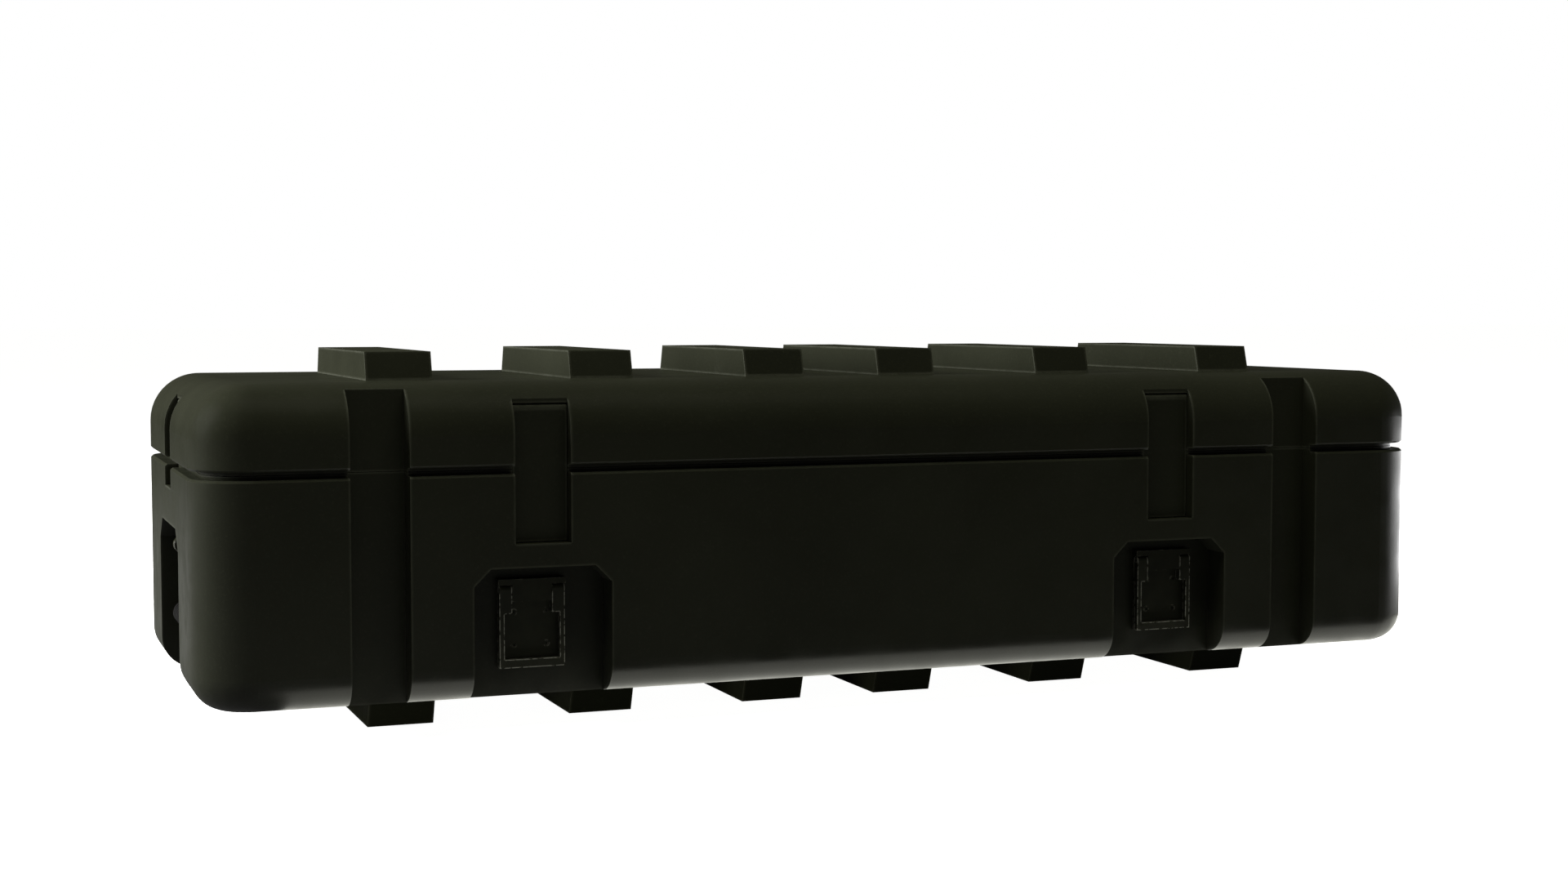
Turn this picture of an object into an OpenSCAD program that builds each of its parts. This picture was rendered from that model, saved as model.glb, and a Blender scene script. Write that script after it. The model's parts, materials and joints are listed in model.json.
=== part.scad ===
// Long footlocker: ribbed plastic base and lid, strap channels, latches,
// tie-down bails in the lower pockets and a drop handle in each end.

/* [Overall] */
// Length of the case, end face to end face
body_l = 1220; // [1100:10:1500]
// Depth of the case, front face to rear face
body_d = 418; // [400:2:540]
// Height of the base from its underside to its lip
base_h = 198; // [180:0.5:300]
// Height of the lid from its lip to its top
lid_h = 73; // [70:0.5:140]
// Height of the runners under the base
skid_h = 31.5; // [20:0.5:60]
// Height of the bars on the lid
bar_h = 25.2; // [12:0.2:40]
// Radius of the upright corners
corner_r = 50; // [48:1:70]
// Radius of the lid's top edge
crown_r = 46; // [20:1:46]
// Radius of the base's bottom edge
foot_r = 30; // [12:1:40]
// Moulded wall
wall = 5; // [5:0.5:7]

/* [Parting line] */
// Height of the open groove between the two lips
groove_h = 6.7; // [5:0.1:10]
// Depth of the groove behind the faces
groove_d = 11; // [6:0.5:11.5]
// Chamfer on each lip
lip_chamfer = 2; // [1:0.1:2.4]
// Thickness of the rim behind each lip
rim_t = 7; // [5:0.5:9]
// Gap between the two rims when the lid is down
seam_gap = 0.5; // [0.3:0.1:1]
// Radius of the mouth's corners
mouth_r = 14; // [8:1:30]
// Width of the gasket
gasket_w = 5; // [4:0.5:6]
// Width of the rim between the deepest channel and the gasket
rim_land = 4; // [3:0.5:8]
// Width of the rim between the gasket and the mouth
mouth_land = 5; // [4:0.5:8]
// Height of the gasket groove
gasket_h = 3.1; // [2:0.1:5]

/* [Strap channels] */
// Width of the full-height strap channels
strap_w = 50.7; // [40:0.1:60]
// Depth of the full-height strap channels
strap_d = 24; // [16:1:30]
// Distance of each strap channel from the middle
strap_x = 456.4; // [430:0.1:480]

/* [Latches] */
// Distance of the front latches and bail pockets from the middle
latch_x = 314.4; // [290:0.1:340]
// Width of a front latch channel
latch_slot_w = 50; // [44:0.5:60]
// Width of an end latch channel
end_slot_w = 48; // [40:0.5:60]
// Depth from the case face to the latch's face
latch_in = 12; // [11.5:0.5:14]
// Thickness of the latch plate
latch_t = 7; // [6:0.5:9]
// Depth of the pocket behind the latch plate
latch_back = 4; // [3.5:0.5:5]
// How far the front latch channel runs below the base's lip
latch_drop = 61.5; // [40:0.5:80]
// How far the end latch channel runs below the base's lip
end_drop = 19; // [18.5:0.5:40]
// Height of the latch's pivot above the lid's lip
pivot_up = 50.3; // [40:0.1:50.5]
// Radius of the latch's pivot pin
latch_pin_r = 2; // [1.5:0.1:2.5]
// Depth of each pin socket in the lid
socket_l = 6; // [4:0.5:7]
// Gap beside a front latch plate
latch_side = 0.6; // [0.4:0.1:1]
// Gap beside an end latch plate
end_side = 2; // [1.8:0.1:3]
// Gap between the latch's foot and the end of its channel
latch_foot_gap = 1; // [0.8:0.1:3]

/* [Keepers] */
// Width of a keeper plate
keeper_w = 34; // [30:1:38]
// Height of a keeper plate
keeper_h = 13; // [11:0.5:13.5]
// Thickness of a keeper plate
keeper_t = 1.5; // [1:0.1:2]
// Width of the keeper's lip
keeper_lip_w = 12; // [8:1:14]
// How far the lip reaches into the latch
keeper_reach = 2; // [1:0.1:2.4]

/* [Bails] */
// Width of a bail pocket
pocket_w = 124; // [100:1:130]
// Depth of a bail pocket
pocket_d = 30; // [22:0.5:36]
// Height of a bail pocket above the base's underside
pocket_h = 115.8; // [110:0.1:120]
// Chamfer on the pocket's top corners
pocket_chamfer = 15; // [5:1:25]
// Overall width of a bail
bail_w = 59; // [50:0.5:70]
// Offset of a bail from its pocket's middle, towards the case's end
bail_offset = 5.5; // [0:0.5:10]
// Height of the bail's pivot above the base's underside
bail_up = 94.5; // [85:0.5:96]
// Drop from the pivot to the bail's foot
bail_drop = 69; // [50:1:75]
// Thickness of the bail, front to back
bail_t = 5; // [4.5:0.5:7]
// Width of each side bar
bail_bar = 4.5; // [4:0.5:7]
// Height of the bottom bar
bail_foot = 7.5; // [6:0.5:12]
// Width of each lug at the bail's top
lug_w = 11.4; // [9:0.2:13]
// Length of each lug below the pivot
lug_drop = 21; // [12:0.5:30]
// Radius of each lug about the pivot
lug_r = 3.8; // [3.4:0.1:4.6]
// Radius of the bail's pin
bail_pin_r = 2; // [1.5:0.1:2.2]
// Thickness of the bracket's back plate
plate_t = 2; // [1.5:0.1:2.2]
// Height of the bracket's hood above the pivot
hood_up = 9.5; // [8:0.5:12]
// Drop of the bracket's knuckle below the pivot
knuckle_drop = 10.5; // [6:0.5:14]

/* [Handles] */
// Width of an end pocket
grip_pocket_w = 157; // [140:1:170]
// Depth of an end pocket
grip_pocket_d = 32; // [30:1:33]
// Height of an end pocket above the base's underside
grip_pocket_h = 146; // [140:0.5:150]
// Chamfer on the end pocket's top corners
grip_chamfer = 20; // [5:1:20]
// Distance between the handle's two arms, centre to centre
handle_w = 116; // [104:1:120]
// Drop from the handle's pivot to the grip's axis
handle_drop = 62; // [50:1:80]
// Height of the handle's pivot above the base's underside
handle_up = 119.5; // [110:0.5:122]
// Radius of the handle's rod
rod_r = 4; // [3:0.5:5]
// Bend radius of the handle's corners
rod_bend = 10; // [8:1:12]
// Radius of the handle's eyes
eye_r = 8; // [7:0.5:9]
// Radius of the grip
grip_r = 11; // [9:0.5:12]
// Length of the grip
grip_l = 88; // [70:1:90]
// Number of finger grooves round the handle's grip
grip_grooves = 9; // [5:2:13]
// Depth of a finger groove
grip_groove_d = 1; // [0.6:0.1:1.4]
// Thickness of the handle's back plate
hplate_t = 2.5; // [2:0.1:3]
// Thickness of each ear
ear_t = 4; // [3:0.5:5]
// Radius of the handle's pins
hpin_r = 3; // [2:0.5:4]

/* [Hinges] */
// Distance of the outer hinges from the middle
hinge_x = 314.4; // [290:0.1:340]
// Width of a hinge
hinge_w = 100; // [80:1:110]
// Radius of the hinge barrel
barrel_r = 3; // [2.8:0.1:3]
// Radius of the hinge pin
hinge_pin_r = 1.5; // [1.2:0.1:1.8]
// Thickness of a hinge leaf
leaf_t = 2; // [1.5:0.1:2.2]
// Length of a leaf from the hinge axis
leaf_l = 24; // [18:1:26]
// Number of knuckles in a hinge
knuckles = 5; // [3:2:7]

/* [Bars and runners] */
// Width of a bar or a runner
rib_w = 59.2; // [40:0.2:70]
// Distance of the inner pair from the middle
rib_x1 = 67.8; // [60:0.1:80]
// Distance of the second pair from the middle
rib_x2 = 237.5; // [220:0.1:250]
// Distance of the outer pair from the middle
rib_x3 = 423.4; // [400:0.1:440]
// Length of a bar where it meets the lid
bar_foot_l = 258; // [200:1:300]
// Length of a bar along its top
bar_top_l = 243.5; // [190:0.5:290]
// Length of a runner where it meets the base
skid_head_l = 260; // [200:1:300]
// Length of a runner along the ground
skid_foot_l = 238; // [190:1:290]
// Spacing of the outer screws in each bar or runner
rib_screw_gap = 180; // [120:5:185]
// Number of screws in each bar or runner
rib_screws = 4; // [2:1:6]

/* [Fasteners] */
// Shank radius of the bar and runner screws
rib_screw_r = 1.95; // [1.5:0.05:1.95]
// Head radius of the bar and runner screws
rib_head_r = 4.5; // [3.6:0.1:6]
// Head height of the bar and runner screws
rib_head_h = 2.6; // [2:0.1:4]
// Depth of a screw in the bar or runner
rib_screw_bite = 14; // [8:1:18]
// Shank radius of the small screws
screw_r = 1.75; // [1.4:0.05:1.95]
// Head radius of the small screws
screw_head_r = 3.3; // [2.8:0.1:4]
// Head height of the small screws
screw_head_h = 1.6; // [1:0.1:2]
// Depth of a small screw in the moulded wall
screw_bite = 4; // [3:0.1:4.4]
// Radius of the hexagon socket in every screw head
socket_r = 1.4; // [1:0.1:1.6]
// Depth of the hexagon socket
socket_in = 1.1; // [0.6:0.1:1.4]

/* [Fits] */
// Running clearance round a pivot pin
run_fit = 0.05; // [0.02:0.01:0.1]
// Clearance round a fixed pin or a screw
fix_fit = 0.03; // [0.01:0.01:0.05]
// Gap between parts that move past each other
slip = 0.4; // [0.3:0.1:0.8]

/* [Hidden] */
$fn = 96;
hex_sides = 6;
eps = 0.5;
far = 400;
half_l = body_l / 2;
half_d = body_d / 2;
shell_z = skid_h;
lip_z = shell_z + base_h;
lid_z = lip_z + groove_h;
top_z = lid_z + lid_h;
seam_z = lip_z + (groove_h - seam_gap) / 2;
seam_top = seam_z + seam_gap;
axis_z = lip_z + groove_h / 2;
hinge_in = barrel_r;
shell_c = [0.085, 0.09, 0.075];
rib_c = [0.075, 0.08, 0.068];
steel_c = [0.16, 0.16, 0.155];
screw_c = [0.3, 0.3, 0.29];
rubber_c = [0.03, 0.03, 0.03];

latch_axis_in = latch_in + latch_t / 2;
latch_axis_z = lid_z + pivot_up;
latch_end_r = latch_t / 2;
slot_d = latch_in + latch_t + latch_back;
gasket_in = max(strap_d, slot_d) + rim_land;
gasket_drop = seam_gap / 5;
rim_w = gasket_in + gasket_w + mouth_land;
slot_top = latch_axis_z + latch_end_r + slip;
slot_side = socket_l + 2;
keeper_below = 3;
keeper_z = lip_z - keeper_below - keeper_h;
keeper_pitch = keeper_w - 2 * screw_head_r - 2;
keeper_groove_w = keeper_lip_w + 4;
keeper_lip_t = 2;

bail_x = latch_x + bail_offset;
bail_axis_z = shell_z + bail_up;
plate_in = pocket_d - plate_t;
bail_axis_in = plate_in - slip - lug_r;
bail_in = bail_axis_in - lug_r;
pocket_top = shell_z + pocket_h;
sink_h = min(screw_head_r - screw_r, plate_t - slip);
knuckle_w = bail_w - 2 * (lug_w + slip);
bracket_screw_top = 10;
bracket_screw_foot = 12;
bracket_screw_zs = [bail_axis_z - knuckle_drop - bracket_screw_top,
  bail_axis_z - bail_drop + bail_foot + bracket_screw_foot];
arm_lap = 10;

grip_top = shell_z + grip_pocket_h;
handle_z = shell_z + handle_up;
handle_in = grip_pocket_d - hplate_t - slip - grip_r;
hplate_w = handle_w + 2 * (rod_r + slip + ear_t) + 2;
hplate_in = grip_pocket_d - hplate_t;
hplate_h = 34;

hinge_slot_w = hinge_w + 2;
hinge_floor = hinge_in + leaf_t;
knuckle_l = hinge_w / knuckles;
leaf_hole_z = leaf_l - screw_head_r - 2;
leaf_screw_edge = 12;
leaf_pitch = hinge_w - 2 * leaf_screw_edge;

rib_xs = [-rib_x3, -rib_x2, -rib_x1, rib_x1, rib_x2, rib_x3];
shell_bottom = shell_z + wall;
lid_ceiling = top_z - wall;

// A wall profile carried round four corners and along the four faces.
// The profile runs outward from 0 at the corner's axis to r at the face.
module round_about(l, d, r, z0, z1) {
  for (a = [0, 1, 2, 3]) {
    sx = (a == 0 || a == 3) ? 1 : -1;
    sy = (a < 2) ? 1 : -1;
    translate([sx * (l / 2 - r), sy * (d / 2 - r), 0])
      rotate([0, 0, a * 90])
        rotate_extrude(angle = 90)
          children();
  }
  for (s = [0, 1])
    rotate([0, 0, s * 180]) {
      translate([-(l / 2 - r), d / 2 - r, 0])
        rotate([90, 0, 90])
          linear_extrude(height = l - 2 * r)
            children();
      translate([l / 2 - r, d / 2 - r, 0])
        rotate([90, 0, 0])
          linear_extrude(height = d - 2 * r)
            children();
    }
  translate([-(l / 2 - r), -(d / 2 - r), z0])
    cube([l - 2 * r, d - 2 * r, z1 - z0]);
}

// Plain profile, for slabs with upright sides.
module slab(l, d, r, z0, z1)
  round_about(l, d, r, z0, z1)
    translate([0, z0])
      square([r, z1 - z0]);

// Concave corner that leaves a quarter round of radius q.
module quarter_off(q)
  difference() {
    square([q + 1, q + 1]);
    circle(r = q);
  }

// Body with a rounded bottom edge and a chamfered lip on top.
module tub(inset, z0, z1, q, c)
  round_about(body_l - 2 * inset, body_d - 2 * inset, corner_r - inset, z0, z1)
    difference() {
      translate([0, z0])
        square([corner_r - inset, z1 - z0]);
      translate([corner_r - inset - q, z0 + q])
        mirror([0, 1])
          quarter_off(q);
      if (c > 0)
        translate([corner_r - inset, z1 - c])
          polygon([[0, 0], [1, 0], [1, c + 1], [-c, c + 1], [-c, c]]);
    }

// Body with a rounded top edge and a chamfered lip below.
module cap(inset, z0, z1, q, c)
  round_about(body_l - 2 * inset, body_d - 2 * inset, corner_r - inset, z0, z1)
    difference() {
      translate([0, z0])
        square([corner_r - inset, z1 - z0]);
      translate([corner_r - inset - q, z1 - q])
        quarter_off(q);
      if (c > 0)
        translate([corner_r - inset, z0 + c])
          polygon([[0, 0], [1, 0], [1, -c - 1], [-c, -c - 1], [-c, -c]]);
    }

// Puts a front-face feature at its left and right places, front and back.
module front_pair(x)
  for (s = [-1, 1])
    translate([s * x, -half_d, 0])
      children();

module rear_pair(x)
  mirror([0, 1, 0])
    front_pair(x)
      children();

// Puts a feature drawn for the front face on the left and right ends.
module end_pair()
  for (s = [-1, 1])
    rotate([0, 0, s * 90])
      translate([0, -half_l, 0])
        children();

// Box on a face: width, from depth y0 to y1, from height z0 to z1.
module face_box(w, y0, y1, z0, z1)
  translate([-w / 2, y0, z0])
    cube([w, y1 - y0, z1 - z0]);

// Pocket with chamfered top corners, open at its foot.
module pocket(w, y0, y1, z0, z1, c)
  translate([0, y1, 0])
    rotate([90, 0, 0])
      linear_extrude(height = y1 - y0)
        polygon([
          [-w / 2, z0], [w / 2, z0], [w / 2, z1 - c], [w / 2 - c, z1],
          [-w / 2 + c, z1], [-w / 2, z1 - c]
        ]);

// Screw hole or shank drilled inward from a face.
module bore(r, x, z, y0, y1)
  translate([x, y0, z])
    rotate([-90, 0, 0])
      cylinder(r = r, h = y1 - y0);

// Strap, latch, bail and handle recesses.
module strap_cut(g)
  face_box(strap_w + 2 * g, -far, strap_d + g, -eps, top_z + far);

module latch_cut_low(w, drop)
  face_box(w, -far, slot_d, lip_z - drop, top_z);

module latch_cut_high(w) {
  face_box(w, -far, slot_d, -eps, slot_top);
  face_box(w, -far, latch_in, slot_top - eps, top_z);
}

module latch_boss_low(w, drop)
  face_box(w + 2 * slot_side, -far, slot_d + wall, lip_z - drop - wall, top_z);

module latch_boss_high(w)
  face_box(w + 2 * slot_side, -far, slot_d + wall, 0, slot_top + wall);

module bail_cut(g)
  pocket(pocket_w + 2 * g, -far, pocket_d + g, -eps, pocket_top + g, pocket_chamfer);

module handle_cut(g)
  pocket(grip_pocket_w + 2 * g, -far, grip_pocket_d + g, -eps, grip_top + g, grip_chamfer);

module hinge_cut()
  face_box(hinge_slot_w, -far, hinge_floor, axis_z - leaf_l - 1, axis_z + leaf_l + 1);

module hinge_boss()
  face_box(hinge_slot_w + 2 * wall, -far, hinge_floor + wall, axis_z - leaf_l - wall - 1,
    axis_z + leaf_l + wall + 1);

module hinge_places()
  mirror([0, 1, 0])
    for (x = [-hinge_x, 0, hinge_x])
      translate([x, -half_d, 0])
        children();

// Screw places, each drawn on its own face.
module keeper_holes(r, y0, y1)
  for (x = [-1, 1])
    bore(r, x * keeper_pitch / 2, keeper_z + keeper_h / 2, y0, y1);

module bracket_holes(r, y0, y1)
  for (x = [-1, 1])
    for (z = bracket_screw_zs)
      bore(r, x * bail_w / 4, z, y0, y1);

// Countersunk heads or their seats in the bracket's back plate.
module bracket_sinks(g)
  for (x = [-1, 1])
    for (z = bracket_screw_zs)
      translate([x * bail_w / 4, plate_in, z])
        rotate([-90, 0, 0])
          cylinder(r1 = screw_r + sink_h + g, r2 = screw_r + g, h = sink_h);

module handle_holes(r, y0, y1)
  for (x = [-1, 1])
    for (z = [-1, 1])
      bore(r, x * handle_w / 3, handle_z + z * hplate_h / 3, y0, y1);

module leaf_holes(r, up, y0, y1)
  for (x = [-1, 0, 1])
    bore(r, x * leaf_pitch / 2, axis_z + up * leaf_hole_z, y0, y1);

module rib_holes(r, z0, z1)
  for (x = rib_xs)
    for (n = [0 : rib_screws - 1])
      translate([x, (n / (rib_screws - 1) - 0.5) * rib_screw_gap, z0])
        cylinder(r = r, h = z1 - z0);

// Inside of the base, standing clear of every recess by one wall.
module base_inside()
  difference() {
    tub(wall, shell_bottom, lip_z - rim_t, foot_r - wall, 0);
    front_pair(strap_x)
      strap_cut(wall);
    rear_pair(strap_x)
      strap_cut(wall);
    front_pair(latch_x)
      latch_boss_low(latch_slot_w, latch_drop);
    end_pair()
      latch_boss_low(end_slot_w, end_drop);
    front_pair(latch_x)
      bail_cut(wall);
    rear_pair(latch_x)
      bail_cut(wall);
    end_pair()
      handle_cut(wall);
    hinge_places()
      hinge_boss();
  }

module base_shell()
  color(shell_c)
    difference() {
      union() {
        tub(0, shell_z, lip_z, foot_r, lip_chamfer);
        slab(body_l - 2 * groove_d, body_d - 2 * groove_d, corner_r - groove_d, lip_z - 1, seam_z);
      }
      base_inside();
      slab(body_l - 2 * rim_w, body_d - 2 * rim_w, mouth_r, lip_z - rim_t - 1, seam_z + 1);
      front_pair(strap_x)
        strap_cut(0);
      rear_pair(strap_x)
        strap_cut(0);
      front_pair(latch_x)
        latch_cut_low(latch_slot_w, latch_drop);
      end_pair()
        latch_cut_low(end_slot_w, end_drop);
      front_pair(latch_x)
        bail_cut(0);
      rear_pair(latch_x)
        bail_cut(0);
      end_pair()
        handle_cut(0);
      hinge_places()
        hinge_cut();
      front_pair(latch_x)
        keeper_holes(screw_r + fix_fit, slot_d - eps, slot_d + screw_bite + eps);
      end_pair()
        keeper_holes(screw_r + fix_fit, slot_d - eps, slot_d + screw_bite + eps);
      front_pair(bail_x)
        bracket_holes(screw_r + fix_fit, pocket_d - eps, pocket_d + screw_bite + eps);
      rear_pair(bail_x)
        bracket_holes(screw_r + fix_fit, pocket_d - eps, pocket_d + screw_bite + eps);
      end_pair()
        handle_holes(screw_r + fix_fit, grip_pocket_d - eps, grip_pocket_d + screw_bite + eps);
      hinge_places()
        leaf_holes(screw_r + fix_fit, -1, hinge_floor - eps, hinge_floor + screw_bite + eps);
      rib_holes(rib_screw_r + fix_fit, shell_z - 1, shell_bottom + 1);
    }

// Inside of the lid.
module lid_inside()
  difference() {
    cap(wall, lid_z + rim_t, lid_ceiling, crown_r - wall, 0);
    front_pair(strap_x)
      strap_cut(wall);
    rear_pair(strap_x)
      strap_cut(wall);
    front_pair(latch_x)
      latch_boss_high(latch_slot_w);
    end_pair()
      latch_boss_high(end_slot_w);
    hinge_places()
      hinge_boss();
  }

module latch_sockets(w)
  translate([-w / 2 - socket_l, latch_axis_in, latch_axis_z])
    rotate([0, 90, 0])
      cylinder(r = latch_pin_r + fix_fit, h = w + 2 * socket_l);

module lid_shell()
  color(shell_c)
    difference() {
      union() {
        cap(0, lid_z, top_z, crown_r, lip_chamfer);
        slab(body_l - 2 * groove_d, body_d - 2 * groove_d, corner_r - groove_d, seam_top, lid_z + 1);
      }
      lid_inside();
      slab(body_l - 2 * rim_w, body_d - 2 * rim_w, mouth_r, seam_top - 1, lid_z + rim_t + 1);
      difference() {
        slab(body_l - 2 * gasket_in, body_d - 2 * gasket_in, corner_r - gasket_in,
          seam_top - 1, seam_top + gasket_h);
        slab(body_l - 2 * (gasket_in + gasket_w), body_d - 2 * (gasket_in + gasket_w),
          corner_r - gasket_in - gasket_w, seam_top - 2, seam_top + gasket_h + 1);
      }
      front_pair(strap_x)
        strap_cut(0);
      rear_pair(strap_x)
        strap_cut(0);
      front_pair(latch_x)
        latch_cut_high(latch_slot_w);
      end_pair()
        latch_cut_high(end_slot_w);
      front_pair(latch_x)
        latch_sockets(latch_slot_w);
      end_pair()
        latch_sockets(end_slot_w);
      hinge_places()
        hinge_cut();
      hinge_places()
        leaf_holes(screw_r + fix_fit, 1, hinge_floor - eps, hinge_floor + screw_bite + eps);
      rib_holes(rib_screw_r + fix_fit, lid_ceiling - 1, top_z + 1);
    }

// Rubber seal in the lid's rim.
module gasket()
  color(rubber_c)
    difference() {
      slab(body_l - 2 * gasket_in - 2 * fix_fit, body_d - 2 * gasket_in - 2 * fix_fit,
        corner_r - gasket_in - fix_fit, seam_top - gasket_drop, seam_top + gasket_h);
      slab(body_l - 2 * (gasket_in + gasket_w - fix_fit), body_d - 2 * (gasket_in + gasket_w - fix_fit),
        corner_r - gasket_in - gasket_w + fix_fit, seam_top - 2, seam_top + gasket_h + 1);
    }

// Runner and bar: a trapezoid seen from the end, with blind screw holes.
module skid(n)
  color(rib_c)
    difference() {
      translate([rib_xs[n - 1] - rib_w / 2, 0, 0])
        rotate([90, 0, 90])
          linear_extrude(height = rib_w)
            polygon([
              [-skid_foot_l / 2, 0], [skid_foot_l / 2, 0],
              [skid_head_l / 2, skid_h], [-skid_head_l / 2, skid_h]
            ]);
      rib_holes(rib_screw_r + fix_fit, shell_z - rib_screw_bite - 1, shell_z + 1);
    }

module bar(n)
  color(rib_c)
    difference() {
      translate([rib_xs[n - 1] - rib_w / 2, 0, top_z])
        rotate([90, 0, 90])
          linear_extrude(height = rib_w)
            polygon([
              [-bar_foot_l / 2, 0], [bar_foot_l / 2, 0],
              [bar_top_l / 2, bar_h], [-bar_top_l / 2, bar_h]
            ]);
      rib_holes(rib_screw_r + fix_fit, top_z - 1, top_z + rib_screw_bite + 1);
    }

module skid_screws()
  color(screw_c)
    difference() {
      union() {
        rib_holes(rib_head_r, shell_bottom, shell_bottom + rib_head_h);
        rib_holes(rib_screw_r, shell_z - rib_screw_bite, shell_bottom + eps);
      }
      rib_holes(socket_r, shell_bottom + rib_head_h - socket_in,
        shell_bottom + rib_head_h + 1, $fn = hex_sides);
    }

module bar_screws()
  color(screw_c)
    difference() {
      union() {
        rib_holes(rib_head_r, lid_ceiling - rib_head_h, lid_ceiling);
        rib_holes(rib_screw_r, lid_ceiling - eps, top_z + rib_screw_bite);
      }
      rib_holes(socket_r, lid_ceiling - rib_head_h - 1,
        lid_ceiling - rib_head_h + socket_in, $fn = hex_sides);
    }

// Latch plate with an eye at its head and an open-footed groove for the keeper.
module latch(w, drop)
  color(rib_c)
    difference() {
      union() {
        face_box(w, latch_in, latch_in + latch_t, lip_z - drop + latch_foot_gap, latch_axis_z);
        translate([-w / 2, latch_axis_in, latch_axis_z])
          rotate([0, 90, 0])
            cylinder(r = latch_end_r, h = w);
      }
      translate([-w / 2 - 1, latch_axis_in, latch_axis_z])
        rotate([0, 90, 0])
          cylinder(r = latch_pin_r + run_fit, h = w + 2);
      face_box(keeper_groove_w, latch_in + latch_t - keeper_reach - 1, latch_in + latch_t + 1,
        lip_z - drop, keeper_z + keeper_h + 2);
    }

module latch_pin(w)
  translate([-w / 2 - socket_l + slip, latch_axis_in, latch_axis_z])
    rotate([0, 90, 0])
      cylinder(r = latch_pin_r, h = w + 2 * (socket_l - slip));

module latch_pins()
  color(screw_c) {
    front_pair(latch_x)
      latch_pin(latch_slot_w);
    end_pair()
      latch_pin(end_slot_w);
  }

// Keeper: a screwed plate with a lip that stands in the latch's groove.
module keeper()
  color(steel_c)
    difference() {
      union() {
        face_box(keeper_w, slot_d - keeper_t, slot_d, keeper_z, keeper_z + keeper_h);
        face_box(keeper_lip_w, latch_in + latch_t - keeper_reach, slot_d - keeper_t + eps,
          keeper_z + keeper_h - 4, keeper_z + keeper_h - 4 + keeper_lip_t);
      }
      keeper_holes(screw_r + fix_fit, slot_d - keeper_t - 1, slot_d + 1);
    }

module keeper_screw_set()
  difference() {
    union() {
      keeper_holes(screw_head_r, slot_d - keeper_t - screw_head_h, slot_d - keeper_t);
      keeper_holes(screw_r, slot_d - keeper_t - eps, slot_d + screw_bite);
    }
    keeper_holes(socket_r, slot_d - keeper_t - screw_head_h - 1,
      slot_d - keeper_t - screw_head_h + socket_in, $fn = hex_sides);
  }

module keeper_screws()
  color(screw_c) {
    front_pair(latch_x)
      keeper_screw_set();
    end_pair()
      keeper_screw_set();
  }

// Bail bracket: back plate, hood and the middle knuckle that holds the pin.
module bail_bracket()
  color(steel_c)
    difference() {
      union() {
        face_box(bail_w, plate_in, pocket_d, bail_axis_z - bail_drop, bail_axis_z + hood_up);
        face_box(bail_w + 2, bail_in, plate_in + eps, bail_axis_z + lug_r + slip, bail_axis_z + hood_up);
        face_box(knuckle_w, bail_in, plate_in + eps, bail_axis_z - knuckle_drop, bail_axis_z + hood_up);
      }
      translate([-bail_w / 2 - 1, bail_axis_in, bail_axis_z])
        rotate([0, 90, 0])
          cylinder(r = bail_pin_r + fix_fit, h = bail_w + 2);
      bracket_holes(screw_r + fix_fit, plate_in - 1, pocket_d + 1);
      bracket_sinks(fix_fit);
    }

// Bail: two lugs on the pin, two side bars and a foot bar.
module bail()
  color(steel_c)
    difference() {
      union() {
        for (s = [-1, 1]) {
          translate([s * (bail_w - lug_w) / 2, 0, 0])
            face_box(lug_w, bail_in, bail_in + 2 * lug_r, bail_axis_z - lug_drop, bail_axis_z);
          translate([s * (bail_w - lug_w) / 2 - lug_w / 2, bail_axis_in, bail_axis_z])
            rotate([0, 90, 0])
              cylinder(r = lug_r, h = lug_w);
          translate([s * (bail_w - bail_bar) / 2, 0, 0])
            face_box(bail_bar, bail_in, bail_in + bail_t, bail_axis_z - bail_drop,
              bail_axis_z - arm_lap);
        }
        face_box(bail_w, bail_in, bail_in + bail_t, bail_axis_z - bail_drop,
          bail_axis_z - bail_drop + bail_foot);
      }
      translate([-bail_w / 2 - 1, bail_axis_in, bail_axis_z])
        rotate([0, 90, 0])
          cylinder(r = bail_pin_r + run_fit, h = bail_w + 2);
    }

module bail_pin()
  translate([-bail_w / 2, bail_axis_in, bail_axis_z])
    rotate([0, 90, 0])
      cylinder(r = bail_pin_r, h = bail_w);

module bail_pins()
  color(screw_c) {
    front_pair(bail_x)
      bail_pin();
    rear_pair(bail_x)
      bail_pin();
  }

module bracket_screw_set()
  difference() {
    union() {
      bracket_sinks(0);
      bracket_holes(screw_r, plate_in + eps, pocket_d + screw_bite);
    }
    bracket_holes(socket_r, plate_in - 1, plate_in + socket_in, $fn = hex_sides);
  }

module bracket_screws()
  color(steel_c) {
    front_pair(bail_x)
      bracket_screw_set();
    rear_pair(bail_x)
      bracket_screw_set();
  }

// Handle bracket: back plate and two ears outside the handle's eyes.
module handle_bracket()
  color(steel_c)
    difference() {
      union() {
        face_box(hplate_w, hplate_in, grip_pocket_d, handle_z - hplate_h / 2,
          handle_z + hplate_h / 2);
        for (s = [-1, 1])
          translate([s * (handle_w / 2 + rod_r + slip + ear_t / 2), 0, 0]) {
            face_box(ear_t, handle_in, hplate_in + eps, handle_z - eye_r, handle_z + eye_r);
            translate([-ear_t / 2, handle_in, handle_z])
              rotate([0, 90, 0])
                cylinder(r = eye_r, h = ear_t);
          }
      }
      translate([-hplate_w / 2 - 1, handle_in, handle_z])
        rotate([0, 90, 0])
          cylinder(r = hpin_r + fix_fit, h = hplate_w + 2);
      handle_holes(screw_r + fix_fit, hplate_in - 1, grip_pocket_d + 1);
    }

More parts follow.
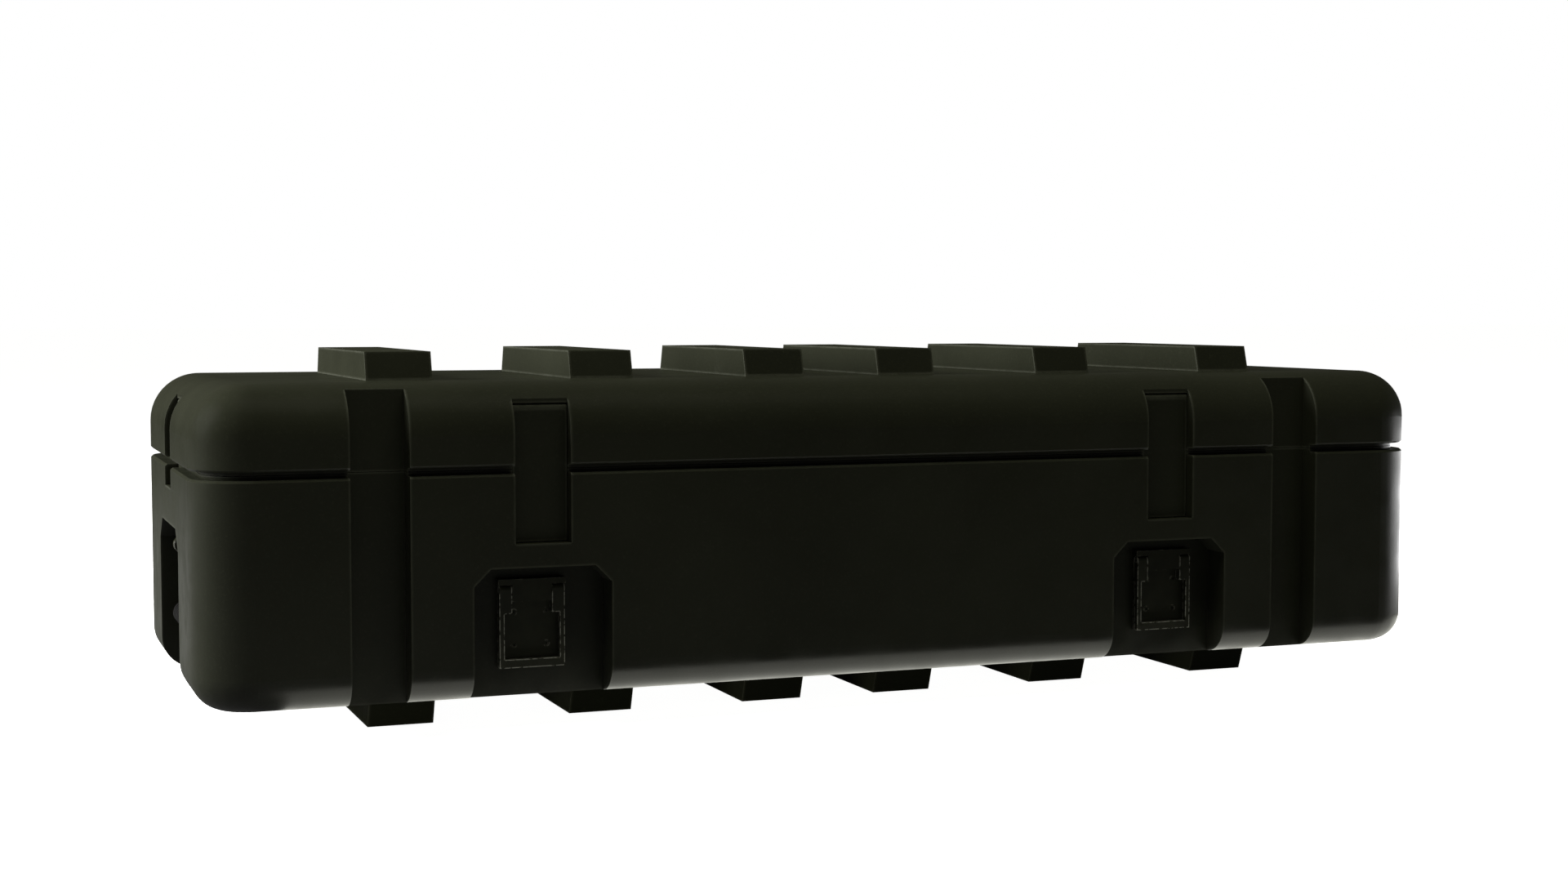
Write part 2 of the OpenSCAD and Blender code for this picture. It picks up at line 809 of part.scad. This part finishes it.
// Drop handle: a bent rod with an eye at each end.
module handle()
  color(steel_c)
    difference() {
      translate([0, handle_in, handle_z]) {
        for (s = [-1, 1]) {
          translate([s * handle_w / 2 - rod_r, 0, 0])
            rotate([0, 90, 0])
              cylinder(r = eye_r, h = 2 * rod_r);
          translate([s * handle_w / 2, 0, -handle_drop + rod_bend])
            cylinder(r = rod_r, h = handle_drop - rod_bend);
        }
        translate([-handle_w / 2 + rod_bend, 0, -handle_drop])
          rotate([0, 90, 0])
            cylinder(r = rod_r, h = handle_w - 2 * rod_bend);
        translate([handle_w / 2 - rod_bend, 0, -handle_drop + rod_bend])
          rotate([90, 0, 0])
            rotate([0, 0, -90])
              rotate_extrude(angle = 90)
                translate([rod_bend, 0])
                  circle(r = rod_r);
        translate([-handle_w / 2 + rod_bend, 0, -handle_drop + rod_bend])
          rotate([90, 0, 0])
            rotate([0, 0, 180])
              rotate_extrude(angle = 90)
                translate([rod_bend, 0])
                  circle(r = rod_r);
      }
      translate([-hplate_w / 2, handle_in, handle_z])
        rotate([0, 90, 0])
          cylinder(r = hpin_r + run_fit, h = hplate_w);
    }

module grip()
  color(rubber_c)
    translate([-grip_l / 2, handle_in, handle_z - handle_drop])
      rotate([0, 90, 0])
        difference() {
          cylinder(r = grip_r, h = grip_l);
          translate([0, 0, -1])
            cylinder(r = rod_r + fix_fit, h = grip_l + 2);
          for (n = [1 : grip_grooves])
            translate([0, 0, n * grip_l / (grip_grooves + 1)])
              rotate_extrude()
                translate([grip_r + grip_groove_d, 0])
                  circle(r = 2 * grip_groove_d);
        }

module handle_pins()
  color(screw_c)
    end_pair()
      for (s = [-1, 1])
        translate([s * (handle_w / 2 + (slip + ear_t) / 2) - (2 * rod_r + slip + ear_t) / 2,
          handle_in, handle_z])
          rotate([0, 90, 0])
            cylinder(r = hpin_r, h = 2 * rod_r + slip + ear_t);

module handle_screws()
  color(screw_c)
    end_pair()
      difference() {
        union() {
          handle_holes(screw_head_r, hplate_in - screw_head_h, hplate_in);
          handle_holes(screw_r, hplate_in - eps, grip_pocket_d + screw_bite);
        }
        handle_holes(socket_r, hplate_in - screw_head_h - 1,
          hplate_in - screw_head_h + socket_in, $fn = hex_sides);
      }

// Hinge leaf: up is 1 for the lid's leaf and -1 for the base's.
module leaf(up)
  color(steel_c)
    difference() {
      union() {
        translate([0, 0, axis_z])
          mirror([0, 0, (1 - up) / 2])
            face_box(hinge_w, hinge_in, hinge_in + leaf_t, barrel_r + slip, leaf_l);
        for (k = [0 : knuckles - 1])
          if (k % 2 == (1 + up) / 2)
            translate([-hinge_w / 2 + k * knuckle_l + slip / 2, 0, 0]) {
              translate([0, hinge_in, axis_z])
                rotate([0, 90, 0])
                  cylinder(r = barrel_r, h = knuckle_l - slip);
              translate([0, 0, axis_z])
                mirror([0, 0, (1 - up) / 2])
                  translate([0, hinge_in, 0])
                    cube([knuckle_l - slip, leaf_t, barrel_r + slip + 1]);
            }
      }
      translate([-hinge_w / 2 - 1, hinge_in, axis_z])
        rotate([0, 90, 0])
          cylinder(r = hinge_pin_r + (up > 0 ? run_fit : fix_fit), h = hinge_w + 2);
      leaf_holes(screw_r + fix_fit, up, hinge_in - 1, hinge_floor + 1);
    }

module hinge_half(x, up)
  mirror([0, 1, 0])
    translate([x, -half_d, 0])
      leaf(up);

module hinge_pins()
  color(screw_c)
    hinge_places()
      translate([-hinge_w / 2, hinge_in, axis_z])
        rotate([0, 90, 0])
          cylinder(r = hinge_pin_r, h = hinge_w);

module hinge_screws(up)
  color(screw_c)
    hinge_places()
      difference() {
        union() {
          leaf_holes(screw_head_r, up, hinge_in - screw_head_h, hinge_in);
          leaf_holes(screw_r, up, hinge_in - eps, hinge_floor + screw_bite);
        }
        leaf_holes(socket_r, up, hinge_in - screw_head_h - 1,
          hinge_in - screw_head_h + socket_in, $fn = hex_sides);
      }

// Places for single pieces.
module front_at(s, x)
  translate([s * x, -half_d, 0])
    children();

module rear_at(s, x)
  mirror([0, 1, 0])
    front_at(s, x)
      children();

module end_at(s)
  rotate([0, 0, s * 90])
    translate([0, -half_l, 0])
      children();

module front_latch()
  latch(latch_slot_w - 2 * latch_side, latch_drop);

module end_latch()
  latch(end_slot_w - 2 * end_side, end_drop);

base_shell();
lid_shell();
gasket();
skid(1);  // skid_1
skid(2);  // skid_2
skid(3);  // skid_3
skid(4);  // skid_4
skid(5);  // skid_5
skid(6);  // skid_6
skid_screws();
bar(1);  // bar_1
bar(2);  // bar_2
bar(3);  // bar_3
bar(4);  // bar_4
bar(5);  // bar_5
bar(6);  // bar_6
bar_screws();
front_at(-1, latch_x) front_latch();  // latch_fl
front_at(1, latch_x) front_latch();  // latch_fr
end_at(-1) end_latch();  // latch_l
end_at(1) end_latch();  // latch_r
latch_pins();
front_at(-1, latch_x) keeper();  // keeper_fl
front_at(1, latch_x) keeper();  // keeper_fr
end_at(-1) keeper();  // keeper_l
end_at(1) keeper();  // keeper_r
keeper_screws();
front_at(-1, bail_x) bail_bracket();  // bail_bracket_fl
front_at(1, bail_x) bail_bracket();  // bail_bracket_fr
rear_at(-1, bail_x) bail_bracket();  // bail_bracket_rl
rear_at(1, bail_x) bail_bracket();  // bail_bracket_rr
front_at(-1, bail_x) bail();  // bail_fl
front_at(1, bail_x) bail();  // bail_fr
rear_at(-1, bail_x) bail();  // bail_rl
rear_at(1, bail_x) bail();  // bail_rr
bail_pins();
bracket_screws();
end_at(-1) handle_bracket();  // handle_bracket_l
end_at(1) handle_bracket();  // handle_bracket_r
end_at(-1) handle();  // handle_l
end_at(1) handle();  // handle_r
end_at(-1) grip();  // grip_l
end_at(1) grip();  // grip_r
handle_pins();
handle_screws();
hinge_half(-hinge_x, -1);  // hinge_base_l
hinge_half(0, -1);  // hinge_base_c
hinge_half(hinge_x, -1);  // hinge_base_r
hinge_half(-hinge_x, 1);  // hinge_lid_l
hinge_half(0, 1);  // hinge_lid_c
hinge_half(hinge_x, 1);  // hinge_lid_r
hinge_pins();
hinge_screws(-1);  // hinge_base_screws
hinge_screws(1);  // hinge_lid_screws
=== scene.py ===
import json
import math

import bpy
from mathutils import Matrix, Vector

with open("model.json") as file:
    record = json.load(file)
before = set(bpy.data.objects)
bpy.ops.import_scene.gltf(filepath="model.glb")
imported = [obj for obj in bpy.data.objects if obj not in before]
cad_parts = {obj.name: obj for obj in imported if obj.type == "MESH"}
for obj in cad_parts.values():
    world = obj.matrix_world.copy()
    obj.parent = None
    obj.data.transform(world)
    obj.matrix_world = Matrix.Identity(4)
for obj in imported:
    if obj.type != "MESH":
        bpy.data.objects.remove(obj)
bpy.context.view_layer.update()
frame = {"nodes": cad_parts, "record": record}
nodes = frame["nodes"]
slots = {s["node"]: s["material_slot"] for s in frame["record"]["subparts"]}


# ---------------------------------------------------------------- camera
FOCAL_MM = 50.22
SENSOR_MM = 36.0
CAMERA_AT = (-0.8083, -2.0519, 0.3722)
CAMERA_TURN_DEG = (86.546, -0.034, -21.293)


def add_camera():
    data = bpy.data.cameras.new("camera")
    data.lens = FOCAL_MM
    data.sensor_width = SENSOR_MM
    cam = bpy.data.objects.new("camera", data)
    cam.location = CAMERA_AT
    cam.rotation_euler = [math.radians(turn) for turn in CAMERA_TURN_DEG]
    bpy.context.scene.collection.objects.link(cam)
    bpy.context.scene.camera = cam


# ---------------------------------------------------------------- materials
OCCLUSION_SAMPLES = 8
SOFT_SAMPLES = 6


class Graph:
    """A small helper that adds nodes to a material and links them."""

    def __init__(self, name):
        self.mat = bpy.data.materials.new(name)
        self.mat.use_nodes = True
        self.tree = self.mat.node_tree
        self.shader = self.tree.nodes["Principled BSDF"]

    def put(self, socket, value):
        """Sets an input to a number or a colour, or links another node's output to it."""
        if isinstance(value, (int, float)):
            socket.default_value = value
        elif isinstance(value, tuple):
            socket.default_value = (*value, 1.0)
        else:
            self.tree.links.new(value, socket)

    def add(self, kind, links=None, **values):
        node = self.tree.nodes.new(kind)
        for key, value in values.items():
            if hasattr(node, key):
                setattr(node, key, value)
            else:
                self.put(node.inputs[key.replace("_", " ")], value)
        for socket, source in (links or {}).items():
            self.tree.links.new(source, node.inputs[socket])
        return node

    def noise(self, scale, detail=3.0, rough=0.55):
        place = self.add("ShaderNodeTexCoord").outputs["Object"]
        links = {"Vector": place}
        node = self.add("ShaderNodeTexNoise", links, Scale=scale, Detail=detail, Roughness=rough)
        return node.outputs["Fac"]

    def ramp(self, source, low, high, start=0.0, end=1.0):
        """A smooth step from start to end while the source goes from low to high."""
        node = self.add("ShaderNodeMapRange", {"Value": source}, interpolation_type="SMOOTHSTEP")
        limits = {"From Min": low, "From Max": high, "To Min": start, "To Max": end}
        for key, value in limits.items():
            self.put(node.inputs[key], value)
        return node.outputs[0]

    def math(self, operation, a, b):
        node = self.add("ShaderNodeMath", operation=operation)
        self.put(node.inputs[0], a)
        self.put(node.inputs[1], b)
        return node.outputs[0]

    def mix(self, factor, a, b):
        node = self.add("ShaderNodeMix", data_type="RGBA")
        fac_socket, a_socket, b_socket = node.inputs[0], node.inputs[6], node.inputs[7]
        self.put(fac_socket, factor)
        self.put(a_socket, a)
        self.put(b_socket, b)
        return node.outputs[2]

    def edges(self, reach, low, high):
        """1 on convex edges, 0 on flat faces and in inside corners."""
        occlusion = self.add(
            "ShaderNodeAmbientOcclusion", inside=True, samples=OCCLUSION_SAMPLES, Distance=reach
        )
        return self.ramp(occlusion.outputs["AO"], low, high, start=1.0, end=0.0)

    def soft_normal(self, radius):
        bevel = self.add("ShaderNodeBevel", samples=SOFT_SAMPLES, Radius=radius)
        return bevel.outputs[0]

    def bump(self, height, strength, distance, normal=None):
        node = self.add("ShaderNodeBump", {"Height": height}, Strength=strength, Distance=distance)
        if normal is not None:
            self.put(node.inputs["Normal"], normal)
        return node.outputs[0]

    def finish(self, colour, roughness, normal, metallic, specular):
        self.put(self.shader.inputs["Base Color"], colour)
        self.put(self.shader.inputs["Roughness"], roughness)
        self.put(self.shader.inputs["Normal"], normal)
        self.put(self.shader.inputs["Metallic"], metallic)
        self.shader.inputs["Specular IOR Level"].default_value = specular
        return self.mat


def brighter(colour, gain):
    return tuple(gain * c for c in colour)


def moulded_plastic(name, deep, pale, scuff_and_highlight_colour, rough, grain):
    """Cloudy colour with specks and scuffs, over a fine moulded grain; its convex edges are paler,
    partly as rubbed plastic and partly as a painted highlight.
    """
    g = Graph(name)
    edges = g.edges(reach=0.0032, low=0.62, high=0.88)
    cloud = g.ramp(g.noise(scale=4.0, detail=4.0), low=0.35, high=0.68)
    speck = g.ramp(g.noise(scale=420.0, detail=2.0), low=0.54, high=0.74)
    scuff = g.ramp(g.noise(scale=9.0, detail=6.0, rough=0.72), low=0.60, high=0.80)
    patches = g.noise(scale=55.0, detail=4.0, rough=0.65)
    wear_and_highlight = g.ramp(patches, low=0.25, high=0.62, start=0.35, end=0.85)
    speck_share, scuff_share, scuff_polish = 0.30, 0.18, -0.05
    colour = g.mix(cloud, deep, pale)
    colour = g.mix(g.math("MULTIPLY", speck, speck_share), colour, brighter(pale, 1.7))
    colour = g.mix(g.math("MULTIPLY", scuff, scuff_share), colour, scuff_and_highlight_colour)
    # Convex edges are painted paler: partly rubbed plastic, partly a painted highlight along the
    # rims.
    colour = g.mix(g.math("MULTIPLY", edges, wear_and_highlight), colour, scuff_and_highlight_colour)
    smear = g.noise(scale=30.0, detail=4.0)
    spread = g.ramp(smear, low=0.3, high=0.7, start=rough - 0.05, end=rough + 0.06)
    roughness = g.math("ADD", spread, g.math("MULTIPLY", scuff, scuff_polish))
    fine = g.noise(scale=grain, detail=3.0, rough=0.5)
    normal = g.bump(fine, strength=0.16, distance=0.0005)
    waves = g.noise(scale=30.0, detail=2.0)
    normal = g.bump(waves, strength=0.05, distance=0.0012, normal=normal)
    return g.finish(colour, roughness, normal, metallic=0.0, specular=0.30)


def coated_metal(name, coat, bare_and_glint, rough, reach, wear_and_highlight):
    """A dark coating chipped to the metal along its edges; the pale chipped edges and their dots
    are partly real chipping and partly painted highlights and glints.
    """
    g = Graph(name)
    edges = g.edges(reach=reach, low=0.60, high=0.85)
    chip_shift = wear_and_highlight * 0.2
    flakes = g.noise(scale=240.0, detail=3.0, rough=0.6)
    chips = g.ramp(flakes, low=0.52 - chip_shift, high=0.66 - chip_shift)
    # Chipped convex edges: real chipping, plus painted highlights with glint dots.
    wear_and_glint = g.math("MULTIPLY", edges, chips)
    cloud = g.ramp(g.noise(scale=60.0), low=0.35, high=0.7)
    colour = g.mix(wear_and_glint, g.mix(cloud, coat, brighter(coat, 1.4)), bare_and_glint)
    smear = g.noise(scale=180.0)
    roughness = g.ramp(smear, low=0.3, high=0.7, start=rough - 0.08, end=rough + 0.10)
    normal = g.bump(g.noise(scale=900.0, detail=2.0), strength=0.25, distance=0.0002)
    metallic = g.math("MULTIPLY", wear_and_glint, 0.35)
    return g.finish(colour, roughness, normal, metallic=metallic, specular=0.3)


def bare_metal(name, dull, clean, rough):
    g = Graph(name)
    edges = g.edges(reach=0.0006, low=0.60, high=0.85)
    cloud = g.ramp(g.noise(scale=220.0, detail=4.0), low=0.35, high=0.7)
    colour = g.mix(edges, g.mix(cloud, dull, clean), brighter(clean, 1.5))
    smear = g.noise(scale=300.0)
    roughness = g.ramp(smear, low=0.3, high=0.7, start=rough - 0.08, end=rough + 0.1)
    fine = g.noise(scale=700.0, detail=2.0)
    normal = g.bump(fine, strength=0.2, distance=0.0001, normal=g.soft_normal(radius=0.0004))
    return g.finish(colour, roughness, normal, metallic=0.9, specular=0.5)


def rubber(name, deep, pale):
    g = Graph(name)
    edges = g.edges(reach=0.0010, low=0.60, high=0.85)
    cloud = g.ramp(g.noise(scale=70.0, detail=4.0), low=0.35, high=0.7)
    edge_share = g.math("MULTIPLY", edges, 0.6)
    colour = g.mix(edge_share, g.mix(cloud, deep, pale), brighter(pale, 2.0))
    roughness = g.ramp(g.noise(scale=120.0), low=0.3, high=0.7, start=0.62, end=0.8)
    fine = g.noise(scale=1100.0, detail=2.0)
    normal = g.bump(fine, strength=0.3, distance=0.0002, normal=g.soft_normal(radius=0.0006))
    return g.finish(colour, roughness, normal, metallic=0.0, specular=0.3)


# Deep colour, pale colour, and the scuff colour that also paints the edge highlight, of each
# plastic.
SHELL = (0.0118, 0.0126, 0.0082), (0.0150, 0.0160, 0.0105), (0.040, 0.042, 0.032)
RIB = (0.0132, 0.0141, 0.0092), (0.0168, 0.0179, 0.0118), (0.045, 0.047, 0.036)
LATCH = (0.0110, 0.0118, 0.0075), (0.0140, 0.0150, 0.0097), (0.038, 0.040, 0.030)
MATERIALS = {
    "shell_plastic": moulded_plastic("shell_plastic", *SHELL, rough=0.34, grain=620.0),
    "rib_plastic": moulded_plastic("rib_plastic", *RIB, rough=0.48, grain=500.0),
    "latch_plastic": moulded_plastic("latch_plastic", *LATCH, rough=0.46, grain=560.0),
    "coated_steel": coated_metal(
        "coated_steel",
        coat=(0.0088, 0.0095, 0.0048),
        bare_and_glint=(0.10, 0.10, 0.085),
        rough=0.46,
        reach=0.0010,
        wear_and_highlight=0.2,
    ),
    # Its pale chipped edges are partly real chipping and partly a painted highlight.
    "worn_steel": coated_metal(
        "worn_steel",
        coat=(0.0125, 0.0132, 0.0080),
        bare_and_glint=(0.40, 0.40, 0.37),
        rough=0.40,
        reach=0.0016,
        wear_and_highlight=0.7,
    ),
    "bare_steel": bare_metal(
        "bare_steel", dull=(0.10, 0.10, 0.095), clean=(0.17, 0.17, 0.16), rough=0.42
    ),
    "black_rubber": rubber(
        "black_rubber", deep=(0.006, 0.006, 0.006), pale=(0.011, 0.011, 0.010)
    ),
}

# Bevel width of each slot's parts, in metres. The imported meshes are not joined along
# the borders of the CAD's faces, so the bevel reaches only a few edges of the lid and
# the handles, and every other small edge stays sharp.
EDGE = {
    "shell_plastic": 0.0016,
    "rib_plastic": 0.0020,
    "latch_plastic": 0.0008,
    "coated_steel": 0.0004,
    "worn_steel": 0.0007,
}
FLAT_DEG = 0.6
SHARP_DEG = 32
EDGE_SEGMENTS = 3


def bevel_edges(obj, width):
    """Merges the flat triangles inside each face, then bevels the joined sharp edges."""
    flat = obj.modifiers.new("flat", "DECIMATE")
    flat.decimate_type = "DISSOLVE"
    flat.angle_limit = math.radians(FLAT_DEG)
    edge = obj.modifiers.new("edge", "BEVEL")
    edge.width = width
    edge.segments = EDGE_SEGMENTS
    edge.limit_method = "ANGLE"
    edge.angle_limit = math.radians(SHARP_DEG)
    edge.use_clamp_overlap = True
    edge.harden_normals = True


def dress_nodes():
    for name, obj in nodes.items():
        obj.data.materials.clear()
        obj.data.materials.append(MATERIALS[slots[name]])
        if slots[name] in EDGE:
            bevel_edges(obj, EDGE[slots[name]])


# ---------------------------------------------------------------- stage
FLOOR_HALF = 40.0
FLOOR_GLOW = 0.97
FLOOR_BOUNCE = 0.08
WORLD_LIGHT = 0.035
WARM = 0.82  # blue share of the lights from above and in front
FAINT_WARM = 0.9
FLOOR_LAMP_Z = 0.003  # a lamp that lies just above the floor


def camera_switch(tree, seen, other):
    """Shows one shader to the camera and lights the object with the other."""
    path = tree.nodes.new("ShaderNodeLightPath")
    mix = tree.nodes.new("ShaderNodeMixShader")
    tree.links.new(path.outputs["Is Camera Ray"], mix.inputs[0])
    tree.links.new(other, mix.inputs[1])
    tree.links.new(seen, mix.inputs[2])
    return mix.outputs[0]


def add_floor():
    mesh = bpy.data.meshes.new("floor")
    s = FLOOR_HALF
    mesh.from_pydata([(-s, -s, 0), (s, -s, 0), (s, s, 0), (-s, s, 0)], [], [(0, 1, 2, 3)])
    floor = bpy.data.objects.new("floor", mesh)
    bpy.context.scene.collection.objects.link(floor)
    g = Graph("floor")
    cloud = g.ramp(g.noise(scale=3.0), low=0.3, high=0.7)
    colour = g.mix(cloud, (0.80, 0.80, 0.79), (0.84, 0.84, 0.83))
    roughness = g.ramp(g.noise(scale=9.0, detail=2.0), low=0.3, high=0.7, start=0.75, end=0.85)
    normal = g.bump(g.noise(scale=60.0, detail=2.0), strength=0.02, distance=0.001)
    g.finish(colour, roughness, normal, metallic=0.0, specular=0.0)
    glow = g.add("ShaderNodeEmission", Strength=FLOOR_GLOW)
    lit = g.add("ShaderNodeAddShader", {0: g.shader.outputs[0], 1: glow.outputs[0]})
    dim = g.add("ShaderNodeBsdfDiffuse", Color=(FLOOR_BOUNCE, FLOOR_BOUNCE, FLOOR_BOUNCE))
    end = g.tree.nodes["Material Output"]
    g.tree.links.new(camera_switch(g.tree, lit.outputs[0], dim.outputs[0]), end.inputs[0])
    mesh.materials.append(g.mat)


def add_light(name, location, target, size, power, blue=1.0, diffuse=True, glossy=True):
    data = bpy.data.lights.new(name, "AREA")
    data.shape = "RECTANGLE"
    data.size, data.size_y = size
    data.energy = power
    data.color = (1.0, 1.0, blue)
    light = bpy.data.objects.new(name, data)
    light.location = location
    aim = Vector(target) - Vector(location)
    light.rotation_euler = aim.to_track_quat("-Z", "Y").to_euler()
    light.visible_camera = False
    light.visible_diffuse = diffuse
    light.visible_glossy = glossy
    bpy.context.scene.collection.objects.link(light)
    return light


def only_on(light, names):
    """The light reaches these nodes and nothing else."""
    lit = bpy.data.collections.new(light.name + "_lit")
    for name in names:
        lit.objects.link(nodes[name])
    light.light_linking.receiver_collection = lit


def add_room_lights():
    add_light("key", (-2.3, 0.65, 1.1), (0, 0, 0.2), (1.7, 1.5), 205.0, glossy=False)
    add_light("rim", (1.20, 0.06, 0.11), (0.6, -0.02, 0.12), (0.95, 0.2), 2.2, diffuse=False)
    add_light("top", (-0.2, -0.7, 2.7), (0, 0, 0.3), (2.6, 1.2), 62.0, blue=WARM, glossy=False)
    front, above_front = (-0.2, -0.75, FLOOR_LAMP_Z), (-0.2, -0.75, 1)
    add_light("front", front, above_front, (2.0, 0.8), 1.6, blue=WARM, glossy=False)
    add_light("back", (0.5, 2.6, 0.9), (0, 0, 0.15), (2.0, 0.8), 22.0, glossy=False)
    add_light("right", (2.8, 0.3, 0.8), (0.5, 0, 0.15), (1.0, 0.8), 18.0, glossy=False)


def add_linked_lights():
    """A low light for the runners, and the floor's gleam for what stands over it."""
    skids = [name for name in nodes if name.startswith("skid")]
    low = add_light(
        "low", (-1.6, -0.9, 0.12), (0, 0, 0.02), (0.8, 0.2), 10.0, blue=WARM, glossy=False
    )
    only_on(low, skids)
    under, above = (0.155, 0.0, FLOOR_LAMP_Z), (0.155, 0, 1)
    bounce = add_light(
        "bounce", under, above, (1.37, 0.505), 3.8, blue=FAINT_WARM, diffuse=False
    )
    only_on(bounce, [n for n in nodes if n not in skids and not n.startswith("handle")])


def add_world():
    world = bpy.data.worlds.new("studio")
    bpy.context.scene.world = world
    world.use_nodes = True
    tree = world.node_tree
    seen = tree.nodes["Background"]
    seen.inputs["Color"].default_value = (1.0, 1.0, 1.0, 1.0)
    seen.inputs["Strength"].default_value = 1.0
    other = tree.nodes.new("ShaderNodeBackground")
    other.inputs["Color"].default_value = (1.0, 1.0, 0.80, 1.0)
    other.inputs["Strength"].default_value = WORLD_LIGHT
    end = tree.nodes["World Output"]
    tree.links.new(camera_switch(tree, seen.outputs[0], other.outputs[0]), end.inputs[0])


bpy.context.scene.view_settings.view_transform = "Standard"
add_camera()
dress_nodes()
add_floor()
add_room_lights()
add_linked_lights()
add_world()
